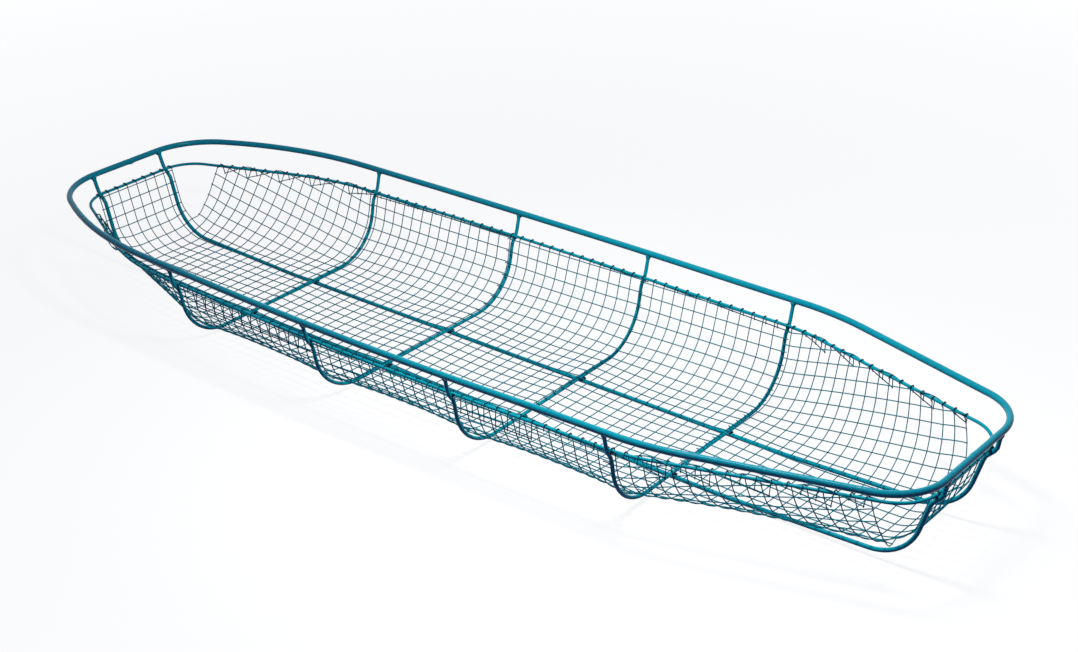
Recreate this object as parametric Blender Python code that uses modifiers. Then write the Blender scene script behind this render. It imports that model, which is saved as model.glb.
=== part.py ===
"""Wire basket stretcher: a welded rod frame with a wire mesh liner folded over its lower rail.

Metres, +Z up. The head end is at -X, the foot end at +X and the patient's left at +Y.
The origin is at the middle of the basket, on the surface that the runners stand on.
"""
import math

import bmesh
import bpy
from mathutils import Vector

# Overall size, over the rods
LENGTH = 2.000
WIDTH = 0.634
HEIGHT = 0.193

# Round bar and wire
TOP_RAIL_DIAMETER = 0.012
LOWER_RAIL_DIAMETER = 0.006
RIB_DIAMETER = 0.007
RUNNER_DIAMETER = 0.008
MESH_WIRE = 0.0016
EDGE_WIRE = 0.0012
GAP = 0.0003

# The long sides bow out and sag a little at the middle, as bent by hand
SIDE_BOW = 0.012
SIDE_SAG = 0.003
BOW_MIDDLE = -0.060
BOW_REACH = 0.560
BOW_STEP = 0.110
SAG_FLOOR = 0.030

# Two runners run under the whole length and climb both ends
RUNNER_HALF_SPACING = 0.090

# Top rail in plan: each end tapers from a shoulder to a corner outside the runners
HEAD_CORNER_OUT = 0.080
HEAD_SHOULDER_INSET = 0.242
HEAD_CORNER_RADIUS = 0.143
HEAD_SHOULDER_RADIUS = 0.725
FOOT_CORNER_OUT = 0.084
FOOT_SHOULDER_INSET = 0.428
FOOT_CORNER_RADIUS = 0.104
FOOT_SHOULDER_RADIUS = 0.515

# Lower rail, inside the ribs and below the top rail
LOWER_RAIL_DROP = 0.0434
LOWER_RAIL_INSET = 0.020
LOWER_RAIL_END_RISE = 0.008
LOWER_HEAD_INSET = 0.025
LOWER_HEAD_CORNER_OUT = 0.044
LOWER_HEAD_SHOULDER_INSET = 0.300
LOWER_HEAD_CORNER_RADIUS = 0.077
LOWER_HEAD_SHOULDER_RADIUS = 0.462
LOWER_FOOT_INSET = 0.0165
LOWER_FOOT_CORNER_OUT = 0.0500
LOWER_FOOT_SHOULDER_INSET = 0.460
LOWER_FOOT_CORNER_RADIUS = 0.081
LOWER_FOOT_SHOULDER_RADIUS = 0.300

# Ribs: a joggle under the lower rail, a leaning wall, a round bilge and a flat floor
RIB_STATIONS = (-0.532, -0.166, 0.160, 0.488)
JOGGLE_START_RISE = 0.0025
JOGGLE_RADIUS = 0.010
RIB_WALL_INSET = 0.0035
RIB_WALL_DROP = 0.017
RIB_WALL_LEAN = math.radians(10)
BILGE_RADIUS = 0.105

# Runner profile: straight on the ground, a slight rocker, then a bend up each end
ROCKER_INSET = 0.394
ROCKER_ANGLE = math.radians(2)
RUNNER_WALL_INSET = 0.007
RUNNER_WALL_DROP = 0.018
RUNNER_WALL_LEAN = math.radians(16)
RUNNER_BEND_RADIUS = 0.093

# Mesh liner: five sheets that lap at the ribs, with a strip up each end
SHEET_LAP = 0.012
BAYS = len(RIB_STATIONS) + 1
BAY_CELLS = 4
FLOOR_CELLS = 4
STRIP_CELLS = 2
BILGE_ROWS = 2
WALL_ROWS = 2
STRIP_BEND_ROWS = 4
STRIP_OVERHANG = 0.012
HEAD_PANEL_INSET = 0.104
HEAD_PANEL_OUT = 0.040
HEAD_PANEL_RADIUS = 0.032
FOOT_PANEL_INSET = 0.089
FOOT_PANEL_OUT = 0.060
FOOT_PANEL_RADIUS = 0.045

# Folded edge of the mesh: one wound wire stands for the wire ends that hook round the lower rail
CELLS_PER_TURN = 2
END_CELLS_PER_TURN = 1
POINTS_PER_TURN = 10
EDGE_PHASE = 0.125
EDGE_SLACK = 1.15

# Facets
RAIL_ARC_STEP = math.radians(5)
ROD_ARC_STEP = math.radians(9)
TOP_RAIL_SIDES = 12
RUNNER_SIDES = 12
RIB_SIDES = 10
LOWER_RAIL_SIDES = 8
EDGE_SIDES = 6

# Finishes: colour, roughness, metallic
RAIL_PAINT = ((0.000, 0.240, 0.310), 0.32, 0.25)
ROD_PAINT = ((0.000, 0.190, 0.260), 0.35, 0.25)
MESH_PAINT = ((0.090, 0.210, 0.230), 0.50, 0.35)
EDGE_FINISH = ((0.035, 0.060, 0.065), 0.55, 0.45)

# Radii and levels that follow from the sizes above
TOP_R = TOP_RAIL_DIAMETER / 2
LOWER_R = LOWER_RAIL_DIAMETER / 2
RIB_R = RIB_DIAMETER / 2
RUNNER_R = RUNNER_DIAMETER / 2
WIRE_R = MESH_WIRE / 2
EDGE_R = EDGE_WIRE / 2
TOP_BEVEL = TOP_R / math.cos(math.pi / TOP_RAIL_SIDES)
RUNNER_BEVEL = RUNNER_R / math.cos(math.pi / RUNNER_SIDES)
RAIL_X = LENGTH / 2 - TOP_R
RAIL_Y = WIDTH / 2 - TOP_R - SIDE_BOW
RAIL_Z = HEIGHT - TOP_R
LOWER_Y = RAIL_Y - LOWER_RAIL_INSET
LOWER_Z = RAIL_Z - LOWER_RAIL_DROP
RUNNER_Z = RUNNER_R
RIB_Z = 2 * RUNNER_R + GAP + RIB_R
LAYER_STEP = MESH_WIRE + GAP
SEAM = LAYER_STEP / 2
HEAD, FOOT = -1, 1


def unit(a, b):
    """Unit vector from a to b."""
    return (Vector(b) - Vector(a)).normalized()


def rounded(corners, radii, arc_step, closed=False):
    """Points of a 2D path whose corners are rounded to the given radii."""
    count = len(corners)
    points = []
    for i, corner in enumerate(corners):
        if not closed and i in (0, count - 1):
            points.append(Vector(corner))
            continue
        back = unit(corner, corners[i - 1])
        ahead = unit(corner, corners[(i + 1) % count])
        half = back.angle(ahead) / 2
        turn = math.pi - 2 * half
        radius = radii[i]
        centre = Vector(corner) + (back + ahead).normalized() * (radius / math.sin(half))
        start = Vector(corner) + back * (radius / math.tan(half)) - centre
        side = 1 if back.cross(ahead) < 0 else -1
        steps = max(2, math.ceil(turn / arc_step - 0.01))
        for k in range(steps + 1):
            a = side * turn * k / steps
            points.append(centre + Vector((start.x * math.cos(a) - start.y * math.sin(a),
                                           start.x * math.sin(a) + start.y * math.cos(a))))
    return points


def crossing(path, axis, value):
    """Other coordinate of a 2D path where its axis coordinate first reaches the value."""
    for a, b in zip(path, path[1:]):
        low, high = sorted((a[axis], b[axis]))
        if low <= value <= high and high > low:
            share = (value - a[axis]) / (b[axis] - a[axis])
            return a[1 - axis] + share * (b[1 - axis] - a[1 - axis])
    raise ValueError("the path does not reach that value")


def blend(share):
    """Smooth step from 0 to 1."""
    share = min(max(share, 0), 1)
    return share * share * (3 - 2 * share)


def bowed(point):
    """Place of a point once the long sides are bowed."""
    x, y, z = point
    share = max(0, 1 - ((x - BOW_MIDDLE) / BOW_REACH) ** 2) ** 1.5
    up = blend((z - SAG_FLOOR) / (RAIL_Z - SAG_FLOOR))
    return (x, y * (1 + share * SIDE_BOW / RAIL_Y), z - share * up * SIDE_SAG)


def with_bow_points(path):
    """The path with a point at each step of the bow, so that straight stretches can follow it."""
    result = [path[0]]
    for a, b in zip(path, path[1:]):
        stops = [BOW_MIDDLE + k * BOW_STEP for k in range(-5, 6)]
        stops = [x for x in stops if min(a[0], b[0]) + BOW_STEP / 4 < x < max(a[0], b[0]) - BOW_STEP / 4]
        for x in stops:
            result.append(Vector(a).lerp(Vector(b), (x - a[0]) / (b[0] - a[0])))
        result.append(b)
    return result


def half_loop(ends, half_width):
    """Left half of a rail in plan, from the middle of the head to the middle of the foot."""
    head, foot = ends
    corners = [(-head["x"], 0), (-head["x"], head["half_width"]), (head["inset"] - head["x"], half_width),
               (foot["x"] - foot["inset"], half_width), (foot["x"], foot["half_width"]), (foot["x"], 0)]
    radii = [0, head["corner"], head["shoulder"], foot["shoulder"], foot["corner"], 0]
    return rounded(corners, radii, RAIL_ARC_STEP)


def rail_end(x, out, inset, corner, shoulder):
    return {"x": x, "half_width": RUNNER_HALF_SPACING + out, "inset": inset, "corner": corner,
            "shoulder": shoulder}


TOP_ENDS = (
    rail_end(RAIL_X, HEAD_CORNER_OUT, HEAD_SHOULDER_INSET, HEAD_CORNER_RADIUS, HEAD_SHOULDER_RADIUS),
    rail_end(RAIL_X, FOOT_CORNER_OUT, FOOT_SHOULDER_INSET, FOOT_CORNER_RADIUS, FOOT_SHOULDER_RADIUS),
)
LOWER_ENDS = (
    rail_end(RAIL_X - LOWER_HEAD_INSET, LOWER_HEAD_CORNER_OUT, LOWER_HEAD_SHOULDER_INSET,
             LOWER_HEAD_CORNER_RADIUS, LOWER_HEAD_SHOULDER_RADIUS),
    rail_end(RAIL_X - LOWER_FOOT_INSET, LOWER_FOOT_CORNER_OUT, LOWER_FOOT_SHOULDER_INSET,
             LOWER_FOOT_CORNER_RADIUS, LOWER_FOOT_SHOULDER_RADIUS),
)
TOP_PLAN = half_loop(TOP_ENDS, RAIL_Y)
LOWER_PLAN = half_loop(LOWER_ENDS, LOWER_Y)


def lower_rail_level(x):
    """Height of the lower rail's bends: level along the sides, rising towards each end."""
    end = LOWER_ENDS[0] if x < 0 else LOWER_ENDS[1]
    past = abs(x) - (end["x"] - end["inset"])
    return LOWER_Z + LOWER_RAIL_END_RISE * max(0, past) / end["inset"]


LOWER_SIDE = [(p.x, lower_rail_level(p.x)) for p in LOWER_PLAN[1:-1]]


def lower_rail_y(x):
    """Half width of the lower rail at a station along the sides."""
    return crossing(LOWER_PLAN[1:-1], 0, x)


def lower_rail_z(x):
    """Height of the lower rail at a station along the sides."""
    return crossing(LOWER_SIDE, 0, x)


def lower_rail_x(end, y):
    """Distance of the lower rail from the middle of the basket, across one end."""
    return abs(crossing(LOWER_PLAN if end == HEAD else LOWER_PLAN[::-1], 1, y))


def joggled_wall(rail, lower, lower_radius, rod_radius, inset, drop):
    """First corners of a rod: top rail, bend outside the lower rail, foot of the joggle."""
    contact = lower_radius + rod_radius + GAP
    lean = math.atan2(inset, drop) + math.asin(contact / math.hypot(inset, drop))
    out = (drop + JOGGLE_START_RISE) * math.tan(lean) - inset
    return [rail, (lower[0] + out, lower[1] + JOGGLE_START_RISE), (lower[0] - inset, lower[1] - drop)]


def floor_corner(wall_foot, lean, level, slope=0):
    """Where a leaning wall meets the floor, which may slope away from the middle."""
    drop = (wall_foot[1] - level) / (1 - math.tan(lean) * math.tan(slope))
    return (wall_foot[0] - drop * math.tan(lean), wall_foot[1] - drop)


def rib_corners(rail_y):
    """One side of a rib as (y, z), from the top rail to the corner of the floor."""
    lower = (rail_y, LOWER_Z)
    corners = joggled_wall((RAIL_Y, RAIL_Z), lower, LOWER_R, RIB_R, RIB_WALL_INSET, RIB_WALL_DROP)
    return corners + [floor_corner(corners[-1], RIB_WALL_LEAN, RIB_Z)]


def rib_path(x):
    """Whole rib as (y, z), from the left end of the U to the right end."""
    left = rib_corners(lower_rail_y(x))
    corners = left + [(-y, z) for y, z in reversed(left)]
    radii = [0, JOGGLE_RADIUS, JOGGLE_RADIUS, BILGE_RADIUS]
    return rounded(corners, radii + radii[::-1], ROD_ARC_STEP)


def runner_corners(end):
    """One end of a runner as (x, z), from the top rail to the start of the rocker."""
    lower = (lower_rail_x(end, RUNNER_HALF_SPACING - RUNNER_R), LOWER_Z + LOWER_RAIL_END_RISE)
    corners = joggled_wall((RAIL_X, RAIL_Z), lower, LOWER_R, RUNNER_R, RUNNER_WALL_INSET, RUNNER_WALL_DROP)
    wall = corners[-1]
    start = (RAIL_X - ROCKER_INSET, RUNNER_Z)
    lean, rocker = math.tan(RUNNER_WALL_LEAN), math.tan(ROCKER_ANGLE)
    x = (wall[0] - lean * (wall[1] - start[1] + rocker * start[0])) / (1 - lean * rocker)
    corners.append((x, start[1] + rocker * (x - start[0])))
    corners.append(start)
    return [(end * x, z) for x, z in corners]


RUNNER_RADII = [0, JOGGLE_RADIUS, JOGGLE_RADIUS, RUNNER_BEND_RADIUS, RUNNER_BEND_RADIUS]


def runner_path():
    """Whole runner as (x, z), from the head to the foot."""
    corners = runner_corners(HEAD) + runner_corners(FOOT)[::-1]
    return rounded(corners, RUNNER_RADII + RUNNER_RADII[::-1], ROD_ARC_STEP)


def offset_corner(before, corner, after, distance):
    """Corner moved in by the same distance from both of its sides."""
    back, ahead = unit(corner, before), unit(corner, after)
    half = back.angle(ahead) / 2
    return Vector(corner) + (back + ahead).normalized() * (distance / math.sin(half))


def layer(bay):
    """Every second sheet, the end ones too, lies on top of its neighbours where they lap."""
    return (bay + 1) % 2


class Section:
    """Cross-section of the liner at one station, in (y, z), on the left side."""

    def __init__(self, x, bay):
        self.x = x
        end = HEAD if bay == 0 else FOOT if bay == BAYS - 1 else 0
        start = {HEAD: RIB_STATIONS[0], FOOT: RIB_STATIONS[-1] + SHEET_LAP, 0: x}[end]
        cover = RIB_R + GAP + WIRE_R + layer(bay) * LAYER_STEP
        ribs = rib_corners(lower_rail_y(start))
        self.corner = offset_corner(ribs[2], ribs[3], (0, RIB_Z), cover)
        wall = unit(ribs[3], ribs[2])
        self.top = self.corner + wall * ((LOWER_Z - self.corner.y) / wall.y)
        self.radius = BILGE_RADIUS - cover
        if end:
            self.narrow(end, start)
        up = unit(self.corner, self.top)
        half = up.angle(Vector((-1, 0))) / 2
        reach = self.radius / math.tan(half)
        self.turn = math.pi - 2 * half
        self.wall_foot = self.corner + up * reach
        self.floor_edge = self.corner - Vector((reach, 0))
        self.centre = self.floor_edge + Vector((0, self.radius))

    def narrow(self, end, start):
        """End bays follow the tapering lower rail and the rising runners."""
        inset, out, end_radius = {
            HEAD: (HEAD_PANEL_INSET, HEAD_PANEL_OUT, HEAD_PANEL_RADIUS),
            FOOT: (FOOT_PANEL_INSET, FOOT_PANEL_OUT, FOOT_PANEL_RADIUS)}[end]
        share = blend((abs(self.x) - abs(start)) / (RAIL_X - inset - abs(start)))
        beyond = self.x if abs(self.x) > abs(start) else start
        taper = lower_rail_y(start) - lower_rail_y(beyond)
        self.top = Vector((self.top.x - taper, lower_rail_z(self.x)))
        y = self.corner.x + (RUNNER_HALF_SPACING + out - self.corner.x) * share
        self.corner = Vector((y, liner_floor(self.x, self.corner.y)))
        self.radius += (end_radius - self.radius) * share

    def arc(self, angle):
        """Point on the bilge, by its angle up from the floor."""
        return self.centre + self.radius * Vector((math.sin(angle), -math.cos(angle)))

    @property
    def bottom(self):
        """Lowest wire of the bilge."""
        return self.arc(SEAM / self.radius)

    def seam(self, side):
        """Wire just below or above the seam between the bilge and the wall."""
        return self.arc(self.turn * BILGE_ROWS / (BILGE_ROWS + 1) + side * SEAM / self.radius)


def strip_path(end):
    """Middle strip of the liner in (x, z): the bend and the rise, laid inside the runner."""
    rail, knee, wall, corner, start = [Vector(p) for p in runner_corners(end)]
    cover = RUNNER_R + GAP + WIRE_R
    inner = offset_corner(wall, corner, start, cover)
    up, along = unit(corner, wall), unit(corner, start)
    half = up.angle(along) / 2
    radius = RUNNER_BEND_RADIUS - cover
    reach = radius / math.tan(half)
    turn = math.pi - 2 * half
    centre = inner + (up + along).normalized() * (radius / math.sin(half))
    first = inner + along * reach - centre
    bend = []
    for k in range(STRIP_BEND_ROWS + 1):
        a = end * turn * k / STRIP_BEND_ROWS
        bend.append(centre + Vector((first.x * math.cos(a) - first.y * math.sin(a),
                                     first.x * math.sin(a) + first.y * math.cos(a))))
    top_z = LOWER_Z + LOWER_RAIL_END_RISE
    top = inner + up * ((top_z - inner.y) / up.y)
    return bend, [bend[-1], top]


STRIPS = {HEAD: strip_path(HEAD), FOOT: strip_path(FOOT)}


def liner_floor(x, on_rib):
    """Height of the liner's floor in an end bay: from the rib to the bend of the runners."""
    end = HEAD if x < 0 else FOOT
    bend = STRIPS[end][0]
    rib = RIB_STATIONS[0] if end == HEAD else RIB_STATIONS[-1]
    if abs(x) > abs(bend[0].x):
        return crossing(bend, 0, x)
    share = max(0, abs(x) - abs(rib) - SHEET_LAP) / (abs(bend[0].x) - abs(rib) - SHEET_LAP)
    return on_rib + (bend[0].y - on_rib) * share


def clear_scene():
    for obj in list(bpy.data.objects):
        bpy.data.objects.remove(obj, do_unlink=True)


def new_collection(name):
    collection = bpy.data.collections.new(name)
    bpy.context.scene.collection.children.link(collection)
    return collection


def finish(obj, look):
    """Give an object its own painted finish."""
    colour, roughness, metallic = look
    material = bpy.data.materials.new(obj.name + "_finish")
    material.use_nodes = True
    shader = material.node_tree.nodes["Principled BSDF"]
    shader.inputs["Base Color"].default_value = (*colour, 1)
    shader.inputs["Roughness"].default_value = roughness
    shader.inputs["Metallic"].default_value = metallic
    obj.data.materials.append(material)


def rod(name, points, radius, sides, collection, look=None, closed=False):
    """Round bar bent along the points, with a facet facing straight down."""
    curve = bpy.data.curves.new(name, "CURVE")
    curve.dimensions = "3D"
    curve.bevel_depth = radius
    curve.bevel_resolution = (sides - 4) // 2
    curve.use_fill_caps = not closed
    spline = curve.splines.new("POLY")
    spline.points.add(len(points) - 1)
    for point, place in zip(spline.points, points):
        point.co = (*bowed(place), 1)
        point.tilt = math.pi / sides
    spline.use_cyclic_u = closed
    spline.use_smooth = True
    obj = bpy.data.objects.new(name, curve)
    collection.objects.link(obj)
    if look:
        finish(obj, look)
    return obj


def as_mesh(obj):
    """Replace a curve object by a mesh object with its caps welded on."""
    graph = bpy.context.evaluated_depsgraph_get()
    mesh = bpy.data.meshes.new_from_object(obj.evaluated_get(graph))
    work = bmesh.new()
    work.from_mesh(mesh)
    bmesh.ops.remove_doubles(work, verts=work.verts, dist=0.00001)
    work.to_mesh(mesh)
    work.free()
    name, collection = obj.name, obj.users_collection[0]
    matrix = obj.matrix_world.copy()
    bpy.data.objects.remove(obj)
    copy = bpy.data.objects.new(name, mesh)
    copy.matrix_world = matrix
    collection.objects.link(copy)
    return copy


def cope(obj, cutter):
    """Cut an end of a rod to the round of the rail that it is welded to."""
    cut = obj.modifiers.new("cope", "BOOLEAN")
    cut.operation = "DIFFERENCE"
    cut.solver = "EXACT"
    cut.object = cutter


def make_rails(parts):
    """Top and lower rails, each two half loops that meet in the middle of both ends."""
    for name, plan, height, radius, sides, look in (
            ("top_rail", TOP_PLAN, lambda x: RAIL_Z, TOP_BEVEL, TOP_RAIL_SIDES, RAIL_PAINT),
            ("lower_rail", LOWER_PLAN, lower_rail_level, LOWER_R, LOWER_RAIL_SIDES, ROD_PAINT)):
        half = [(p.x, max(p.y, GAP / 2), height(p.x)) for p in with_bow_points(plan)]
        rod(name + "_left", half, radius, sides, parts, look)
        rod(name + "_right", [(x, -y, z) for x, y, z in half], radius, sides, parts, look)


def make_rail_cutter(cutters):
    """Whole top rail, fatter by the weld gap, that copes the rods' ends."""
    half = [(p.x, p.y, RAIL_Z) for p in with_bow_points(TOP_PLAN)]
    loop = half + [(x, -y, z) for x, y, z in half[-2:0:-1]]
    cutter = as_mesh(rod("top_rail_cutter", loop, TOP_BEVEL + GAP, TOP_RAIL_SIDES, cutters, closed=True))
    cutter.hide_render = True
    cutter.display_type = "WIRE"
    return cutter


def make_ribs(parts, cutter):
    for number, x in enumerate(RIB_STATIONS, start=1):
        points = [(x, p.x, p.y) for p in rib_path(x)]
        rib = as_mesh(rod("rib_%d" % number, points, RIB_R, RIB_SIDES, parts))
        finish(rib, ROD_PAINT)
        cope(rib, cutter)


def make_runners(parts, cutter):
    for side, sign in (("left", 1), ("right", -1)):
        points = [(p.x, sign * RUNNER_HALF_SPACING, p.y) for p in with_bow_points(runner_path())]
        runner = as_mesh(rod("runner_" + side, points, RUNNER_BEVEL, RUNNER_SIDES, parts))
        finish(runner, ROD_PAINT)
        cope(runner, cutter)


def net(name, place, columns, rows, parts):
    """Sheet of welded wires: a grid laid on a surface, with a wire along each line.

    place(u, v) gives a point of the surface, u along the sheet and v across it.
    """
    work = bmesh.new()
    bmesh.ops.create_grid(work, x_segments=columns, y_segments=rows, size=0.5)
    for vert in work.verts:
        vert.co = bowed(place(vert.co.x + 0.5, vert.co.y + 0.5))
    mesh = bpy.data.meshes.new(name)
    work.to_mesh(mesh)
    work.free()
    obj = bpy.data.objects.new(name, mesh)
    parts.objects.link(obj)
    finish(obj, MESH_PAINT)
    wires = obj.modifiers.new("wires", "WIREFRAME")
    wires.thickness = MESH_WIRE
    wires.offset = 0
    wires.use_even_offset = True
    wires.use_boundary = True
    wires.use_replace = True


def sections(bay):
    """Sections of a mesh sheet at its cross wires, bays counted from 0 at the head."""
    start = RIB_STATIONS[bay - 1] if bay else HEAD_PANEL_INSET - RAIL_X
    stop = RIB_STATIONS[bay] + SHEET_LAP if bay < BAYS - 1 else RAIL_X - FOOT_PANEL_INSET
    return [Section(start + (stop - start) * k / BAY_CELLS, bay) for k in range(BAY_CELLS + 1)]


def on_wire(cuts, x, pick):
    """Point of a lengthwise wire, which runs straight from each cross wire to the next."""
    pairs = [(a, b) for a, b in zip(cuts, cuts[1:]) if a.x <= x] or [cuts[:2]]
    a, b = pairs[-1]
    return pick(a).lerp(pick(b), (x - a.x) / (b.x - a.x))


def make_side_nets(bay, side, sign, parts):
    """Bilge and wall of one mesh sheet; the wall takes in the last row of the bilge's arc."""
    cuts = sections(bay)

    def bilge(u, v):
        section = cuts[round(u * BAY_CELLS)]
        point = section.bottom.lerp(section.seam(-1), v)
        if 0 < v < 1:
            point = section.arc(section.turn * v * BILGE_ROWS / (BILGE_ROWS + 1))
        return (section.x, sign * point.x, point.y)

    def wall(u, v):
        section = cuts[round(u * BAY_CELLS)]
        point = (section.seam(1), section.wall_foot, section.top)[round(v * WALL_ROWS)]
        return (section.x, sign * point.x, point.y)

    label = "mesh_%d_%s_" % (bay + 1, side)
    net(label + "bilge", bilge, BAY_CELLS, BILGE_ROWS, parts)
    net(label + "wall", wall, BAY_CELLS, WALL_ROWS, parts)


def make_floor_net(bay, parts):
    """Flat bottom of one mesh sheet, as far as the bend of the runners."""
    cuts = sections(bay)
    start, stop = STRIPS[HEAD][0][0].x + 2 * SEAM, STRIPS[FOOT][0][0].x - 2 * SEAM

    def floor(u, v):
        section = cuts[round(u * BAY_CELLS)]
        x, z = section.x, section.floor_edge.y
        if not start <= x <= stop:
            x = min(max(x, start), stop)
            z = Section(x, bay).floor_edge.y
        edge = on_wire(cuts, x, lambda cut: cut.bottom).x - 2 * SEAM
        return (x, edge * (2 * v - 1), z)

    net("mesh_%d_floor" % (bay + 1), floor, BAY_CELLS, FLOOR_CELLS, parts)


def make_strips(parts):
    """Strips of mesh between the runners that climb each end to the lower rail."""
    half = RUNNER_HALF_SPACING + STRIP_OVERHANG
    for name, end in (("head", HEAD), ("foot", FOOT)):
        bend, rise = STRIPS[end]

        def curve(u, v):
            point = bend[round(v * STRIP_BEND_ROWS)]
            return (point.x, end * half * (2 * u - 1), point.y)

        def flat(u, v):
            foot = rise[0] + 2 * SEAM * unit(rise[0], rise[1])
            point = foot.lerp(rise[1], v)
            return (point.x, end * half * (2 * u - 1), point.y)

        net("mesh_%s_bend" % name, curve, STRIP_CELLS, STRIP_BEND_ROWS, parts)
        net("mesh_%s_rise" % name, flat, STRIP_CELLS, 1, parts)


def edge_wire(name, route, turns, parts):
    """Wire wound round the lower rail and the top wire of the liner.

    route(share) gives the rail's centre, the direction into the basket and how far in
    that way the top wire of the liner lies.
    """
    facets = math.cos(math.pi / POINTS_PER_TURN)
    steps = turns * POINTS_PER_TURN
    span = max((route(k / steps)[0] - route((k + 1) / steps)[0]).length for k in range(steps))
    kink = span * math.tan(RAIL_ARC_STEP / 2) / 2
    hold = (LOWER_R + kink + GAP + EDGE_R) / facets
    points = []
    for k in range(steps + 1):
        centre, inward, reach = route(k / steps)
        angle = 2 * math.pi * (turns * k / steps + EDGE_PHASE)
        inner = (reach + WIRE_R + GAP + EDGE_R) / facets
        across = (inner if math.sin(angle) > 0 else hold) * math.sin(angle)
        up = hold * EDGE_SLACK * math.cos(angle)
        points.append(centre + inward * across + Vector((0, 0, up)))
    rod(name, points, EDGE_R, EDGE_SIDES, parts, EDGE_FINISH)
    half_turn = POINTS_PER_TURN // 2
    gap = min((a - b).length for i, a in enumerate(points) for b in points[i + half_turn:]) - EDGE_WIRE
    print("%s: %d turns, least gap to itself %.1f mm" % (name, turns, gap * 1000))


def side_route(sign):
    """Route of the edge wire along one side: the same number of turns in every bay."""
    step = 0.001
    sheets = [sections(bay) for bay in range(BAYS)]
    stops = [sheets[0][0].x, *RIB_STATIONS, sheets[-1][-1].x]

    def top_wire(bay, x):
        return on_wire(sheets[bay], x, lambda cut: cut.top).x

    def route(share):
        bay = min(int(share * BAYS), BAYS - 1)
        x = stops[bay] + (share * BAYS - bay) * (stops[bay + 1] - stops[bay])
        y = lower_rail_y(x)
        slope = (lower_rail_y(x + step) - y) / step
        inward = Vector((slope, -1, 0)).normalized()
        wire = top_wire(bay, x)
        if bay and x < stops[bay] + 2 * SHEET_LAP:
            wire = min(wire, top_wire(bay - 1, x))
        reach = (y - wire) / math.hypot(slope, 1)
        return Vector((x, sign * y, lower_rail_z(x))), Vector((inward.x, sign * inward.y, 0)), reach

    return route


def end_route(end):
    """Route of the edge wire across the middle of one end."""
    half = RUNNER_HALF_SPACING + STRIP_OVERHANG
    top = STRIPS[end][1][1]

    def route(share):
        y = half * (2 * share - 1)
        x = lower_rail_x(end, abs(y))
        return Vector((end * x, y, top.y)), Vector((-end, 0, 0)), x - abs(top.x)

    return route


def make_mesh_edges(parts):
    turns = BAYS * BAY_CELLS // CELLS_PER_TURN
    edge_wire("mesh_edge_left", side_route(1), turns, parts)
    edge_wire("mesh_edge_right", side_route(-1), turns, parts)
    turns = STRIP_CELLS // END_CELLS_PER_TURN
    edge_wire("mesh_edge_head", end_route(HEAD), turns, parts)
    edge_wire("mesh_edge_foot", end_route(FOOT), turns, parts)


def build():
    clear_scene()
    parts = new_collection("basket_stretcher")
    cutters = new_collection("cutters")
    cutter = make_rail_cutter(cutters)
    make_rails(parts)
    make_ribs(parts, cutter)
    make_runners(parts, cutter)
    for bay in range(BAYS):
        make_floor_net(bay, parts)
        for side, sign in (("left", 1), ("right", -1)):
            make_side_nets(bay, side, sign, parts)
    make_strips(parts)
    make_mesh_edges(parts)


build()
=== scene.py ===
"""Looks of the wire basket stretcher: smooth painted bars, welds and the full 25 mm mesh."""
import math

import bpy
import numpy as np
from mathutils import Matrix, Vector, noise

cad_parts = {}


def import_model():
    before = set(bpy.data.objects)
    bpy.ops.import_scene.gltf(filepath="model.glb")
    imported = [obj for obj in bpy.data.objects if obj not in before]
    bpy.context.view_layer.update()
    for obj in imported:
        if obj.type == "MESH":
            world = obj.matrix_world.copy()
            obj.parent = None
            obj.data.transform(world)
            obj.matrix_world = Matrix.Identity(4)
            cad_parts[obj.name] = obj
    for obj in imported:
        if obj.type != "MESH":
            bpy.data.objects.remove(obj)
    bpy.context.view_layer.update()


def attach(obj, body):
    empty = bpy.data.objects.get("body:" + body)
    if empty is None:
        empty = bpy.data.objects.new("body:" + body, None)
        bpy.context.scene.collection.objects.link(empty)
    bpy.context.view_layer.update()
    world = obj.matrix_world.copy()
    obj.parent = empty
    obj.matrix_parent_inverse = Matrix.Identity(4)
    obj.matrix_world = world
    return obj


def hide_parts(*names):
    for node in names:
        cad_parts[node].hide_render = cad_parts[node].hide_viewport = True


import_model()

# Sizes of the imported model, in metres
LENGTH, WIDTH, HEIGHT = 2.000, 0.634, 0.193
TOP_R, LOWER_R, RIB_R, RUNNER_R = 0.006, 0.003, 0.0035, 0.004
GAP = 0.0003
SIDE_BOW, SIDE_SAG, BOW_MIDDLE, BOW_REACH, SAG_FLOOR = 0.012, 0.003, -0.060, 0.560, 0.030
RUNNER_HALF_SPACING = 0.090
HEAD_CORNER_OUT, HEAD_SHOULDER_INSET, HEAD_CORNER_RADIUS, HEAD_SHOULDER_RADIUS = 0.080, 0.242, 0.143, 0.725
FOOT_CORNER_OUT, FOOT_SHOULDER_INSET, FOOT_CORNER_RADIUS, FOOT_SHOULDER_RADIUS = 0.084, 0.428, 0.104, 0.515
LOWER_RAIL_DROP, LOWER_RAIL_INSET, LOWER_RAIL_END_RISE = 0.0434, 0.020, 0.008
LOWER_HEAD = (0.025, 0.044, 0.300, 0.077, 0.462)
LOWER_FOOT = (0.0165, 0.050, 0.460, 0.081, 0.300)
RIB_STATIONS = (-0.532, -0.166, 0.160, 0.488)
JOGGLE_START_RISE, JOGGLE_RADIUS = 0.0025, 0.010
RIB_WALL_INSET, RIB_WALL_DROP, RIB_WALL_LEAN, BILGE_RADIUS = 0.0035, 0.017, math.radians(10), 0.105
ROCKER_INSET, ROCKER_ANGLE = 0.394, math.radians(2)
RUNNER_WALL_INSET, RUNNER_WALL_DROP, RUNNER_WALL_LEAN = 0.007, 0.018, math.radians(16)
RUNNER_BEND_RADIUS = 0.093
SHEET_LAP = 0.012

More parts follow.
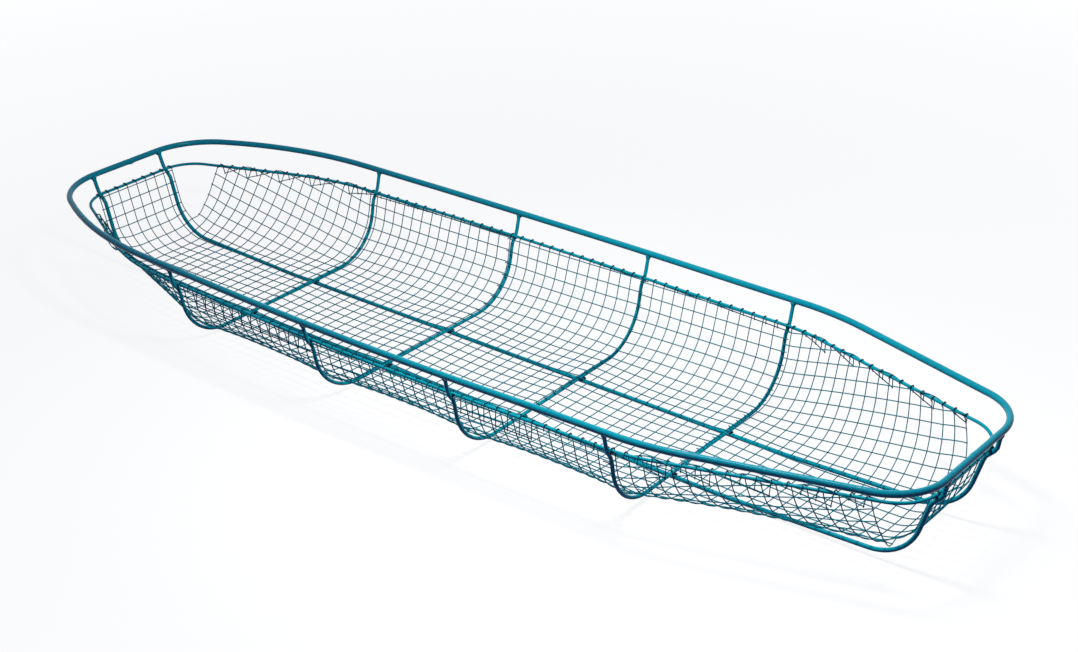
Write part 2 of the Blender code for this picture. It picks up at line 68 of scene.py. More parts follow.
# Mesh panels beside the runners in the end bays: reach, corner out of the runner, bulge, bilge radius, extra
# radius, and how the corner follows the runner's rise. The runner lifts the mesh beside it by the rest.
PANEL_HEAD = (0.104, 0.045, -0.0800, 0.107, 0.029, -0.30)
PANEL_FOOT = (0.089, 0.075, -0.0740, 0.118, 0.053, -0.34)
LIFT_FROM, LIFT_TO = 0.088, 0.132
RAIL_X, RAIL_Y, RAIL_Z = LENGTH / 2 - TOP_R, WIDTH / 2 - TOP_R - SIDE_BOW, HEIGHT - TOP_R
LOWER_Y, LOWER_Z = RAIL_Y - LOWER_RAIL_INSET, RAIL_Z - LOWER_RAIL_DROP
RUNNER_Z = RUNNER_R
RIB_Z = 2 * RUNNER_R + GAP + RIB_R
BAYS = 5
HEAD, FOOT = -1, 1
ARC_STEP = math.radians(3)

# Mesh: cell, wire, and the lift of cross and lengthwise wires off the liner. Every other sheet lies a step
# higher. Lengthwise wires run on over a rib by ON_ROD, and cut ends stand out by TIP.
CELL = 0.025
WIRE_R = 0.00100
CROSS_LIFT, LONG_LIFT = -0.0006, 0.0006
NET_LIFT = 0.0012
LAYER_STEP = 0.0026
ON_ROD = 0.004
TIP = 0.0016

# Hem: a sheet is cut at its first wire further past the lower rail's line than FLAP, or at HEM where it is
# trimmed. The wire has the radius HOOK_R from EDGE_REACH before that line until WRAP past it.
FLAP, HEM = 0.0185, 0.0095
EDGE_REACH = 0.003
WRAP = 0.0125
HOOK_R = 0.00115
# Gap to the rail of the cross wires and of the lengthwise wires that are bent over it, the least distance of
# the rail's middle line from the mesh beside it, and how far the hem stands out from upright
PROUD, CLOSE = 0.0003, 0.0002
LEAST_REACH = 0.0038
SPLAY = math.radians(2)
# Middle strip of an end sheet: how far it runs past the end rail's line, and its half width
STRIP_END = 0.0150
STRIP_HALF = 0.1066

# Free mesh sags and buckles. Both fade out at the ribs, at SHEET_REACH in the end sheets, and within
# EDGE_FADE of the rail. The sag ends FLOOR_OVER past the flat floor, faded over FLOOR_FADE.
BUCKLE = 0.0010
SHEET_REACH = 0.93
EDGE_FADE, FLOOR_FADE, FLOOR_OVER = 0.06, 0.06, 0.02
# The strip keeps some of its panel's last height for STRIP_FADE. Its profile begins STRIP_BEFORE short of
# the rib.
STRIP_FADE, STRIP_BEFORE = 0.07, 0.03
# Points of a wire for each cell, and for one with an end within NEAR_EDGE of the rail's line
PLAIN_POINTS, EDGE_POINTS = 3, 16
NEAR_EDGE = 0.008

# Cells in the end panels; cross wires left out at each sheet's start and end, where the next sheet's edge
# wire lies on the same rib; and how far along x each first cross wire stands from the rib where it begins
PANEL_COLUMNS = {HEAD: 15, FOOT: 18}
SKIPPED = ((0, 0), (1, 0), (0, 0), (0, 1), (1, 0))
SHEET_STARTS = (-0.0066, -0.0047, 0.0002, -0.0019, -0.0161)

# Each sheet's lengthwise wires: offset from the middle line and turn in plan. Between the rods the floor
# sags and the bilge is rounder than the ribs, so that its mesh stands inwards.
SHEET_OFFSETS = (-0.0037, 0.0052, 0.0029, 0.0042, -0.0094)
SHEET_TURNS = (0.0026, 0.0060, 0.0095, 0.0080, -0.0006)
SAGS = (0.0005, 0.0062, 0.0058, 0.0062, 0.0040)
BELLIES = (0.0079, 0.0088, 0.0085, 0.0078, 0.0038)

# Turn of each rib in plan, as its shift along the basket at a half width of SKEW_HALF
RIB_SKEWS = (-0.006, -0.001, -0.008, -0.007)
SKEW_HALF = 0.3

# Light and camera
FLOOR_SHADE = 0.20
FLOOR_BOUNCE = (0.02, 0.04, 0.13)
SKY = (0.035, 0.055, 0.145)
KEY_PLACE, KEY_TARGET = (0.45, -0.18, 1.35), (0.45, -0.08, 0.1)
KEY_SIZE, KEY_ENERGY = (0.52, 0.20), 16.0
SENSOR_WIDTH, LENS = 36, 64.069
CAMERA_PLACE = (2.062897, -2.438176, 1.709594)
CAMERA_RIGHT = (0.784383, 0.620267, -0.003447)
CAMERA_UP = (-0.276292, 0.35436, 0.89336)
CAMERA_AHEAD = (-0.555343, 0.699784, -0.449329)


def unit(a, b):
    return (Vector(b) - Vector(a)).normalized()


def rounded(corners, radii, arc_step=ARC_STEP):
    """Points of an open 2D path whose corners are rounded."""
    points = []
    for i, corner in enumerate(corners):
        if i in (0, len(corners) - 1):
            points.append(Vector(corner))
            continue
        back, ahead = unit(corner, corners[i - 1]), unit(corner, corners[i + 1])
        half = back.angle(ahead) / 2
        turn = math.pi - 2 * half
        centre = Vector(corner) + (back + ahead).normalized() * (radii[i] / math.sin(half))
        start = Vector(corner) + back * (radii[i] / math.tan(half)) - centre
        side = 1 if back.cross(ahead) < 0 else -1
        steps = max(2, math.ceil(turn / arc_step))
        for k in range(steps + 1):
            a = side * turn * k / steps
            points.append(centre + Vector((start.x * math.cos(a) - start.y * math.sin(a),
                                           start.x * math.sin(a) + start.y * math.cos(a))))
    return points


def blend(share):
    share = min(max(share, 0), 1)
    return share * share * (3 - 2 * share)


def bowed(point):
    """Place of a point once the long sides are bowed."""
    x, y, z = point
    share = max(0, 1 - ((x - BOW_MIDDLE) / BOW_REACH) ** 2) ** 1.5
    up = blend((z - SAG_FLOOR) / (RAIL_Z - SAG_FLOOR))
    return Vector((x, y * (1 + share * SIDE_BOW / RAIL_Y), z - share * up * SIDE_SAG))


def rail_end(x, out, inset, corner, shoulder):
    return {"x": x, "half_width": RUNNER_HALF_SPACING + out, "inset": inset, "corner": corner,
            "shoulder": shoulder}


def half_loop(ends, half_width):
    head, foot = ends
    corners = [(-head["x"], 0), (-head["x"], head["half_width"]), (head["inset"] - head["x"], half_width),
               (foot["x"] - foot["inset"], half_width), (foot["x"], foot["half_width"]), (foot["x"], 0)]
    return rounded(corners, [0, head["corner"], head["shoulder"], foot["shoulder"], foot["corner"], 0])


TOP_ENDS = (rail_end(RAIL_X, HEAD_CORNER_OUT, HEAD_SHOULDER_INSET, HEAD_CORNER_RADIUS, HEAD_SHOULDER_RADIUS),
            rail_end(RAIL_X, FOOT_CORNER_OUT, FOOT_SHOULDER_INSET, FOOT_CORNER_RADIUS, FOOT_SHOULDER_RADIUS))
LOWER_ENDS = (rail_end(RAIL_X - LOWER_HEAD[0], *LOWER_HEAD[1:]),
              rail_end(RAIL_X - LOWER_FOOT[0], *LOWER_FOOT[1:]))
TOP_PLAN = half_loop(TOP_ENDS, RAIL_Y)
LOWER_PLAN = half_loop(LOWER_ENDS, LOWER_Y)


def lower_rail_z(x):
    end = LOWER_ENDS[0] if x < 0 else LOWER_ENDS[1]
    past = abs(x) - (end["x"] - end["inset"])
    return LOWER_Z + LOWER_RAIL_END_RISE * blend(min(1, max(0, past) / end["inset"]))


LOWER_XS = np.array([p.x for p in LOWER_PLAN[1:-1]])
LOWER_YS = np.array([p.y for p in LOWER_PLAN[1:-1]])
_order = np.argsort(LOWER_XS, kind="stable")
LOWER_XS, LOWER_YS = LOWER_XS[_order], LOWER_YS[_order]


def lower_rail_y(x):
    return float(np.interp(x, LOWER_XS, LOWER_YS))


def lower_rail_x(end, y):
    """Distance of the lower rail from the middle of the basket, across one end."""
    plan = LOWER_PLAN if end == HEAD else LOWER_PLAN[::-1]
    for a, b in zip(plan, plan[1:]):
        if a.y <= y <= b.y and b.y > a.y:
            return abs(a.x + (b.x - a.x) * (y - a.y) / (b.y - a.y))
    return abs(plan[0].x)


def joggled_wall(rail, lower, lower_radius, rod_radius, inset, drop):
    contact = lower_radius + rod_radius + GAP
    lean = math.atan2(inset, drop) + math.asin(contact / math.hypot(inset, drop))
    out = (drop + JOGGLE_START_RISE) * math.tan(lean) - inset
    return [rail, (lower[0] + out, lower[1] + JOGGLE_START_RISE), (lower[0] - inset, lower[1] - drop)]


def rib_corners(rail_y):
    corners = joggled_wall((RAIL_Y, RAIL_Z), (rail_y, LOWER_Z), LOWER_R, RIB_R, RIB_WALL_INSET, RIB_WALL_DROP)
    foot = corners[-1]
    drop = foot[1] - RIB_Z
    return corners + [(foot[0] - drop * math.tan(RIB_WALL_LEAN), RIB_Z)]


def rib_path(x):
    left = rib_corners(lower_rail_y(x))
    corners = left + [(-y, z) for y, z in reversed(left)]
    radii = [0, JOGGLE_RADIUS, JOGGLE_RADIUS, BILGE_RADIUS]
    return rounded(corners, radii + radii[::-1])


def runner_corners(end):
    lower = (lower_rail_x(end, RUNNER_HALF_SPACING - RUNNER_R), LOWER_Z + LOWER_RAIL_END_RISE)
    corners = joggled_wall((RAIL_X, RAIL_Z), lower, LOWER_R, RUNNER_R, RUNNER_WALL_INSET, RUNNER_WALL_DROP)
    wall, start = corners[-1], (RAIL_X - ROCKER_INSET, RUNNER_Z)
    lean, rocker = math.tan(RUNNER_WALL_LEAN), math.tan(ROCKER_ANGLE)
    x = (wall[0] - lean * (wall[1] - start[1] + rocker * start[0])) / (1 - lean * rocker)
    return [(end * a, z) for a, z in corners + [(x, start[1] + rocker * (x - start[0])), start]]


def runner_path():
    corners = runner_corners(HEAD) + runner_corners(FOOT)[::-1]
    radii = [0, JOGGLE_RADIUS, JOGGLE_RADIUS, RUNNER_BEND_RADIUS, RUNNER_BEND_RADIUS]
    return rounded(corners, radii + radii[::-1])


def offset_corner(before, corner, after, distance):
    back, ahead = unit(corner, before), unit(corner, after)
    return Vector(corner) + (back + ahead).normalized() * (distance / math.sin(back.angle(ahead) / 2))


def strip_profile(end):
    """Liner between the runners in (x, z): bend and rise, as corner points of a fine polyline."""
    wall, corner, start = [Vector(p) for p in runner_corners(end)[2:]]
    cover = RUNNER_R + GAP + NET_LIFT
    inner = offset_corner(wall, corner, start, cover)
    up, along = unit(corner, wall), unit(corner, start)
    half = up.angle(along) / 2
    radius = RUNNER_BEND_RADIUS - cover
    turn = math.pi - 2 * half
    centre = inner + (up + along).normalized() * (radius / math.sin(half))
    first = inner + along * (radius / math.tan(half)) - centre
    bend = []
    for k in range(25):
        a = end * turn * k / 24
        bend.append(centre + Vector((first.x * math.cos(a) - first.y * math.sin(a),
                                     first.x * math.sin(a) + first.y * math.cos(a))))
    return bend, up, inner


STRIPS = {HEAD: strip_profile(HEAD), FOOT: strip_profile(FOOT)}


def liner_floor(x, on_rib):
    end = HEAD if x < 0 else FOOT
    bend = STRIPS[end][0]
    if abs(x) > abs(bend[0].x):
        xs = [abs(p.x) for p in bend]
        return float(np.interp(abs(x), xs, [p.y for p in bend]))
    rib = RIB_STATIONS[0] if end == HEAD else RIB_STATIONS[-1]
    share = max(0, abs(x) - abs(rib) - SHEET_LAP) / (abs(bend[0].x) - abs(rib) - SHEET_LAP)
    return on_rib + (bend[0].y - on_rib) * share


class Section:
    """Cross-section of the liner at one station, in (y, z), on the left side."""
    kept = {}

    def __init__(self, x, bay):
        end = HEAD if bay == 0 else FOOT if bay == BAYS - 1 else 0
        start = {HEAD: RIB_STATIONS[0], FOOT: RIB_STATIONS[-1] + SHEET_LAP, 0: x}[end]
        cover = RIB_R + GAP + NET_LIFT + ((bay + 1) % 2) * LAYER_STEP
        key = (bay, round(lower_rail_y(start), 7))
        if key not in self.kept:
            ribs = rib_corners(lower_rail_y(start))
            corner = offset_corner(ribs[2], ribs[3], (0, RIB_Z), cover)
            self.kept[key] = corner, unit(ribs[3], ribs[2])
        self.corner, wall = self.kept[key]
        self.top = self.corner + wall * ((LOWER_Z - self.corner.y) / wall.y)
        radius = BILGE_RADIUS - cover
        self.push = 0
        if end:
            inset, out, bulge, end_radius, extra, rise = PANEL_HEAD if end == HEAD else PANEL_FOOT
            share = max((abs(x) - abs(start)) / (RAIL_X - inset - abs(start)), 0)
            middle = share * (1 - share)
            beyond = x if abs(x) > abs(start) else start
            taper = lower_rail_y(start) - lower_rail_y(beyond)
            self.top = Vector((self.top.x - taper, lower_rail_z(x)))
            y = self.corner.x + (RUNNER_HALF_SPACING + out - self.corner.x) * share + bulge * middle
            level = liner_floor(x, self.corner.y)
            self.corner = Vector((y, self.corner.y + (level - self.corner.y) * rise))
            self.push = level - self.corner.y
            radius += (end_radius - radius) * share + extra * middle
        self.up = unit(self.corner, self.top)
        half = self.up.angle(Vector((-1, 0))) / 2
        reach = radius / math.tan(half)
        self.radius = radius
        self.wall_foot = self.corner + self.up * reach
        self.flat = self.corner.x - reach
        self.bend = radius * (math.pi - 2 * half)
        self.centre = Vector((self.flat, self.corner.y + radius))
        self.length = self.flat + self.bend + (self.top - self.wall_foot).length

    def at(self, t):
        """Point at a distance along the section from the middle line; the wall runs on past the rail."""
        lift = self.push * (1 - blend((t - LIFT_FROM) / (LIFT_TO - LIFT_FROM)))
        return self.plain(t) + Vector((0, lift))

    def plain(self, t):
        if t <= self.flat:
            return Vector((t, self.corner.y))
        t -= self.flat
        if t <= self.bend:
            a = t / self.radius
            return self.centre + self.radius * Vector((math.sin(a), -math.cos(a)))
        return self.wall_foot + self.up * (t - self.bend)


class Liner:
    """One bay's liner surface, by station x and signed distance t from the middle line."""

    def __init__(self, bay):
        self.bay = bay
        self.sections = {}

    def section(self, x):
        key = round(x, 6)
        if key not in self.sections:
            self.sections[key] = Section(x, self.bay)
        return self.sections[key]

    def flat_point(self, x, t):
        p = self.section(x).at(abs(t))
        return bowed((x, math.copysign(p.x, t) if t else p.x, p.y))

    def normal(self, x, t):
        """Unit normal, into the basket."""
        side = -1 if t < 0 else 1
        step = 0.0005
        across = self.flat_point(x, t + side * step) - self.flat_point(x, t - side * step)
        along = self.flat_point(x + step, t) - self.flat_point(x - step, t)
        n = along.cross(across) * side
        return n.normalized()

    def rail_point(self, x, side):
        return self.flat_point(x, side * self.section(x).length)

    def foot(self, x, t):
        """Where the rail's line is nearest to a point past it: station, distance, line's point, direction."""
        side = -1 if t < 0 else 1
        p = self.flat_point(x, t)
        for _ in range(12):
            r = self.rail_point(x, side)
            tangent = (self.rail_point(x + 0.001, side) - self.rail_point(x - 0.001, side)) / 0.002
            move = (p - r).dot(tangent) / tangent.dot(tangent)
            x += move
            if abs(move) < 1e-6:
                break
        r = self.rail_point(x, side)
        return x, (p - r).length, r, tangent.normalized()

    def past(self, x, t):
        """Distance of a point past the rail's line, 0 for one inside it."""
        return self.foot(x, t)[1] if abs(t) > self.section(x).length else 0

    def fold(self, x, t, lift):
        """Point past the rail, on the edge that is bent over it."""
        side = -1 if t < 0 else 1
        x, over, r, tangent = self.foot(x, t)
        centre = bowed((x, side * lower_rail_y(x), lower_rail_z(x)))
        inward = Vector((tangent.y, -tangent.x, 0)).normalized()
        if inward.y * side > 0:
            inward = -inward
        return wrap(centre, inward, max((r - centre).dot(inward), LEAST_REACH), over, lift)

    def place(self, x, t, lift):
        """Point of a wire that lies a lift above the surface, folded over the rail past its line."""
        cut = self.section(x)
        if abs(t) > cut.length:
            return self.fold(x, t, lift)
        give = self.give(x, t, cut)
        return self.flat_point(x, t) + self.normal(x, t) * (lift + give)

    def give(self, x, t, cut):
        """How far the mesh sags or buckles between the rods that carry it."""
        start = RIB_STATIONS[self.bay - 1] if self.bay else -SHEET_REACH
        stop = RIB_STATIONS[self.bay] if self.bay < BAYS - 1 else SHEET_REACH
        share = min(max((x - start) / (stop - start), 0), 1)
        free = math.sin(math.pi * share) ** 0.8
        edge = min(1, max(0, (cut.length - abs(t)) / EDGE_FADE))
        floor = blend((cut.flat + FLOOR_OVER - abs(t)) / FLOOR_FADE)
        wall = math.sin(math.pi * min(1, max(0, (abs(t) - cut.flat) / (cut.length - cut.flat))))
        lumps = noise.noise(Vector((x * 7, t * 9, self.bay * 3.7))) * BUCKLE
        lumps += noise.noise(Vector((x * 22, t * 24, self.bay * 5.1 + 9))) * BUCKLE * 0.45
        return free * (edge * (lumps - SAGS[self.bay] * floor) + BELLIES[self.bay] * wall)


def wrap(centre, inward, reach, over, lift):
    """Point on a wire that goes up inside the lower rail, over it and down outside."""
    radius = LOWER_R + WIRE_R + (PROUD if lift < 0 else CLOSE)
    inner = max(reach + lift, radius)
    first = math.pi / 2 * (inner + radius) / 2
    second = math.pi / 2 * radius
    if over < first:
        a = math.pi / 2 * over / first
        return centre + inward * (inner * math.cos(a)) + Vector((0, 0, radius * math.sin(a)))
    if over < first + second:
        a = math.pi / 2 * (over - first) / second
        return centre - inward * (radius * math.sin(a)) + Vector((0, 0, radius * math.cos(a)))
    down = over - first - second
    return centre - inward * (radius + down * math.sin(SPLAY)) - Vector((0, 0, down * math.cos(SPLAY)))


def solve_node(liner, start, a, b):
    """Node of the net one cell from each of two neighbours, near a first guess of (x, t)."""
    x, t = start
    for _ in range(8):
        p = liner.flat_point(x, t)
        px = liner.flat_point(x + 1e-5, t)
        pt = liner.flat_point(x, t + 1e-5)
        fa, fb = (p - a).length - CELL, (p - b).length - CELL
        if abs(fa) + abs(fb) < 1e-7:
            break
        jac = np.array([[((px - a).length - CELL - fa) / 1e-5, ((pt - a).length - CELL - fa) / 1e-5],
                        [((px - b).length - CELL - fb) / 1e-5, ((pt - b).length - CELL - fb) / 1e-5]])
        move = np.linalg.solve(jac, [-fa, -fb])
        x += float(np.clip(move[0], -0.01, 0.01))
        t += float(np.clip(move[1], -0.01, 0.01))
    return x, t


class Strip:
    """Middle of an end sheet, by distance s along the floor from the rib and signed distance t across."""

    def __init__(self, end, liner):
        self.end, self.liner = end, liner
        bend, up, inner = STRIPS[end]
        rib = RIB_STATIONS[0] if end == HEAD else RIB_STATIONS[-1]
        level = liner.section(rib).corner.y
        top_z = LOWER_Z + LOWER_RAIL_END_RISE
        top = inner + up * ((top_z - inner.y) / up.y)
        path = [(rib - end * STRIP_BEFORE, level), (rib + end * SHEET_LAP, level)]
        self.path = [Vector(p) for p in path] + bend + [top]
        self.run = [-STRIP_BEFORE]
        for a, b in zip(self.path, self.path[1:]):
            self.run.append(self.run[-1] + (b - a).length)
        self.length = self.run[-1]
        self.top = top
        self.start = end * SHEET_STARTS[0 if end == HEAD else -1]
        self.joined = PANEL_COLUMNS[end] * CELL + self.start
        self.turn = SHEET_TURNS[0 if end == HEAD else -1]

    def profile(self, s):
        x = float(np.interp(s, self.run, [p.x for p in self.path]))
        z = float(np.interp(s, self.run, [p.y for p in self.path]))
        return Vector((x, z))

    def place(self, s, t, lift):
        if s > self.length:
            rail = lower_rail_x(self.end, abs(t))
            centre = Vector((self.end * rail, t, self.top.y))
            reach = max(rail - abs(self.top.x), LEAST_REACH)
            return wrap(centre, Vector((-self.end, 0, 0)), reach, s - self.length, lift)
        p = self.profile(s)
        if s <= self.joined:
            return self.liner.place(p.x, t, lift)
        ahead = (self.profile(s + 0.002) - self.profile(s - 0.002)).normalized()
        normal = Vector((-ahead.y * self.end, ahead.x * self.end))
        edge = self.profile(self.joined)
        raised = self.liner.place(edge.x, t, 0) - Vector((edge.x, t, edge.y))
        fade = blend(1 - (s - self.joined) / STRIP_FADE)
        return Vector((p.x + normal.x * lift, t, p.y + normal.y * lift)) + raised * fade

    def drift(self, s):
        """How far the sheet's turn has moved its lengthwise wires across."""
        return self.turn * (self.profile(min(s, self.length)).x - self.profile(self.start).x)


def side_net(liner, stations, side, offset, turn):
    """Net of one side: nodes (x, t) by column and row, laid from the rib and the middle line out."""
    x0 = stations[0]
    rows = [k for k in range(-30, 31) if (offset + k * CELL) * side > 0]
    rows.sort(key=lambda k: abs(offset + k * CELL))
    limit = max(liner.section(x).length for x in (stations[0], stations[len(stations) // 2]))
    rows = [k for k in rows if abs(offset + k * CELL) < limit + 3.5 * CELL]
    nodes = {}
    for i, x in enumerate(stations):
        nodes[i, rows[0]] = (x, offset + rows[0] * CELL + turn * (x - x0))
    for k, before in zip(rows[1:], rows):
        t = last = nodes[0, before][1]
        t += side * CELL
        for _ in range(3):
            t = last + (t - last) * CELL / (liner.flat_point(x0, t) - liner.flat_point(x0, last)).length
        nodes[0, k] = (x0 - turn * t, t)
    for i in range(1, len(stations)):
        for k, before in zip(rows[1:], rows):
            ax, at = nodes[i - 1, k]
            bx, bt = nodes[i, before]
            cx, ct = nodes[i - 1, before]
            guess = (ax + bx - cx, at + bt - ct)
            nodes[i, k] = solve_node(liner, guess, liner.flat_point(ax, at), liner.flat_point(bx, bt))
    return rows, nodes


def hooked(liner, x, t):
    """Side of the rail that a wire is bent over at this point, or 0."""
    if abs(t) < liner.section(x).length - EDGE_REACH or liner.past(x, t) > WRAP:
        return 0
    return -1 if t < 0 else 1


def trace(liner, keys, lift):
    """One wire through its nodes: points, each with the rail side that it is bent over, or 0."""
    result = []
    for index, ((xa, ta), (xb, tb)) in enumerate(zip(keys, keys[1:])):
        near = min(liner.section(x).length - abs(t) for x, t in ((xa, ta), (xb, tb))) < NEAR_EDGE
        count = EDGE_POINTS if near else PLAIN_POINTS
        last = index == len(keys) - 2
        for s in range(count + last):
            x, t = xa + (xb - xa) * s / count, ta + (tb - ta) * s / count
            result.append((liner.place(x, t, lift), hooked(liner, x, t)))
    return result


def grow(keys, tip):
    """Wire's nodes with its last one moved on by a cut tip."""
    (xa, ta), (xb, tb) = keys[-2:]
    length = math.hypot(xb - xa, tb - ta)
    return keys[:-1] + [(xb + (xb - xa) / length * tip, tb + (tb - ta) / length * tip)]


class Wires:
    """Tubes and weld beads gathered into one mesh."""

    def __init__(self):
        self.verts, self.faces = [], []

    def add(self, points, radius, sides=6, closed=False):
        """Tube along the points; the radius is one number or one for each point."""
        radii = radius if isinstance(radius, list) else [radius] * len(points)
        kept = [(Vector(points[0]), radii[0])]
        for p, r in zip(points[1:], radii[1:]):
            if (p - kept[-1][0]).length > 0.0002:
                kept.append((Vector(p), r))
        pts = [p for p, r in kept]
        n = len(pts)
        if n < 2:
            return
        tangents = []
        for i in range(n):
            a = pts[i - 1] if (closed or i) else pts[i]
            b = pts[(i + 1) % n] if (closed or i < n - 1) else pts[i]
            tangents.append((b - a).normalized())
        ref = Vector((0, 0, 1)) if abs(tangents[0].z) < 0.9 else Vector((0, 1, 0))
        side = tangents[0].cross(ref).normalized()
        base = len(self.verts)
        for (p, r), tangent in zip(kept, tangents):
            side = (side - tangent * side.dot(tangent)).normalized()
            other = tangent.cross(side)
            for s in range(sides):
                a = 2 * math.pi * s / sides
                self.verts.append(p + (side * math.cos(a) + other * math.sin(a)) * r)
        for i in range(n if closed else n - 1):
            j = (i + 1) % n
            for s in range(sides):
                r = (s + 1) % sides
                self.faces.append((base + i * sides + s, base + i * sides + r,
                                   base + j * sides + r, base + j * sides + s))
        if not closed:
            self.faces.append(tuple(base + s for s in range(sides))[::-1])
            self.faces.append(tuple(base + (n - 1) * sides + s for s in range(sides)))

    def bead(self, centre, size, seed, lump=0.30, across=14, up=9):
        """Lump of weld metal: a round form with uneven swellings."""
        base = len(self.verts)
        for j in range(1, up):
            polar = math.pi * j / up
            for i in range(across):
                turn = 2 * math.pi * i / across
                flat = math.sin(polar)
                d = Vector((flat * math.cos(turn), flat * math.sin(turn), math.cos(polar)))
                swell = 1 + lump * noise.noise(d * 1.6 + Vector((seed * 3.1, seed, 0)))
                swell += lump * 0.4 * noise.noise(d * 4.5 + Vector((seed, 7.0, seed)))
                self.verts.append(centre + Vector((d.x * size[0], d.y * size[1], d.z * size[2])) * swell)
        for j in range(up - 2):
            for i in range(across):
                k = (i + 1) % across
                self.faces.append((base + j * across + i, base + (j + 1) * across + i,
                                   base + (j + 1) * across + k, base + j * across + k))
        self.faces.append(tuple(base + i for i in range(across)))
        self.faces.append(tuple(base + (up - 2) * across + i for i in range(across))[::-1])

    def make(self, name, material, nodes=(), slot=None):
        mesh = bpy.data.meshes.new(name)
        mesh.from_pydata([tuple(v) for v in self.verts], [], self.faces)
        mesh.polygons.foreach_set("use_smooth", [len(f) == 4 for f in self.faces])
        mesh.materials.append(material)
        mesh.update()
        obj = bpy.data.objects.new(name, mesh)
        bpy.context.scene.collection.objects.link(obj)
        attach(obj, "root")
        if nodes:
            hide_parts(*nodes)
        return obj


def densify(points, step):
    """Same 3D path with points no further apart than the step."""
    result = [Vector(points[0])]
    for a, b in zip(points, points[1:]):
        a, b = Vector(a), Vector(b)
        count = max(1, math.ceil((b - a).length / step))
        result += [a.lerp(b, k / count) for k in range(1, count + 1)]
    return result


# Materials

def paint(name, colour, dark, roughness, gloss, speck, bump):
    """Brushed-on enamel over bar: uneven shade, thin spots, dust specks and a soft orange peel."""
    material = bpy.data.materials.new(name)
    material.use_nodes = True
    tree = material.node_tree
    nodes, links = tree.nodes, tree.links
    shader = nodes["Principled BSDF"]
    place = nodes.new("ShaderNodeTexCoord")

    def texture(scale, detail, rough=0.55):
        node = nodes.new("ShaderNodeTexNoise")
        node.inputs["Scale"].default_value = scale
        node.inputs["Detail"].default_value = detail
        node.inputs["Roughness"].default_value = rough
        links.new(place.outputs["Object"], node.inputs["Vector"])
        return node

    def ramp(source, stops):
        node = nodes.new("ShaderNodeValToRGB")
        node.color_ramp.elements[0].position, node.color_ramp.elements[0].color = stops[0]
        node.color_ramp.elements[1].position, node.color_ramp.elements[1].color = stops[-1]
        for position, value in stops[1:-1]:
            node.color_ramp.elements.new(position).color = value
        links.new(source, node.inputs["Fac"])
        return node

    def grey(v):
        return (v, v, v, 1)

    broad = texture(3.5, 3)
    fine = texture(140, 4)
    specks = texture(900, 2, 0.7)
    shade = ramp(broad.outputs["Fac"], [(0.30, (*dark, 1)), (0.55, (*colour, 1)), (0.75, (*colour, 1))])
    worn = ramp(fine.outputs["Fac"], [(0.25, grey(0.80)), (0.45, grey(1.0)), (1.0, grey(1.06))])
    mix = nodes.new("ShaderNodeMix")
    mix.data_type, mix.blend_type = "RGBA", "MULTIPLY"
    mix.inputs["Factor"].default_value = 1
    links.new(shade.outputs["Color"], mix.inputs["A"])
    links.new(worn.outputs["Color"], mix.inputs["B"])
    spots = ramp(specks.outputs["Fac"], [(0.66, grey(0)), (0.72, grey(speck)), (1.0, grey(speck))])
    dusted = nodes.new("ShaderNodeMix")
    dusted.data_type = "RGBA"
    dusted.inputs["B"].default_value = (dark[0] * 0.4, dark[1] * 0.4, dark[2] * 0.4, 1)
    links.new(spots.outputs["Color"], dusted.inputs["Factor"])
    links.new(mix.outputs["Result"], dusted.inputs["A"])
    links.new(dusted.outputs["Result"], shader.inputs["Base Color"])
    uneven = ramp(fine.outputs["Fac"], [(0.3, grey(roughness + 0.10)), (0.7, grey(roughness - 0.04))])
    links.new(uneven.outputs["Color"], shader.inputs["Roughness"])
    height = nodes.new("ShaderNodeBump")
    height.inputs["Strength"].default_value = bump
    height.inputs["Distance"].default_value = 0.0004
    peel = texture(420, 3)
    links.new(peel.outputs["Fac"], height.inputs["Height"])
    links.new(height.outputs["Normal"], shader.inputs["Normal"])
    shader.inputs["Specular IOR Level"].default_value = gloss
    return material


RAIL = paint("rail_paint", (0.000, 0.370, 0.465), (0.000, 0.290, 0.405), 0.17, 0.10, 0.5, 0.12)
ROD = paint("rod_paint", (0.000, 0.440, 0.530), (0.000, 0.340, 0.440), 0.30, 0.06, 0.6, 0.20)
MESH = paint("mesh_paint", (0.001, 0.280, 0.345), (0.000, 0.210, 0.280), 0.45, 0.06, 0.3, 0.12)
# Stretches of mesh wire bent over the lower rail: painted much darker than the rest of the mesh
EDGE = paint("edge_wire", (0.000, 0.070, 0.100), (0.000, 0.040, 0.065), 0.45, 0.06, 0.3, 0.12)
WELD = paint("weld_paint", (0.000, 0.130, 0.200), (0.000, 0.050, 0.095), 0.38, 0.12, 0.8, 0.45)
BURNT = paint("burnt_weld", (0.001, 0.012, 0.024), (0.000, 0.005, 0.010), 0.42, 0.10, 0.5, 0.60)


# Bars

def hand_bent(point, seed, amount):
    """A little waviness along a bar, always towards the inside of the basket."""
    n = noise.noise(Vector((point.x * 2.3 + seed, point.y * 2.3, seed * 1.7)))
    m = noise.noise(Vector((point.x * 3.1 - seed, point.y * 3.1, seed * 2.9)))
    plan = Vector((point.x, point.y, 0))
    inward = -plan.normalized() if plan.length > 0.05 else Vector((0, 0, 0))
    return point + inward * (abs(n) * amount) + Vector((0, 0, -abs(m) * amount * 0.6))


def loop(plan, level, seed, amount, step=0.012):
    half = [Vector((p.x, p.y, level(p.x))) for p in plan]
    other = [Vector((p.x, -p.y, p.z)) for p in half[-2:0:-1]]
    ring = densify(half + other + [half[0]], step)[:-1]
    return [hand_bent(bowed(p), seed, amount) for p in ring]


SEAMS = [Vector((-RAIL_X, 0.012, RAIL_Z)), Vector((RAIL_X, -0.004, RAIL_Z))]


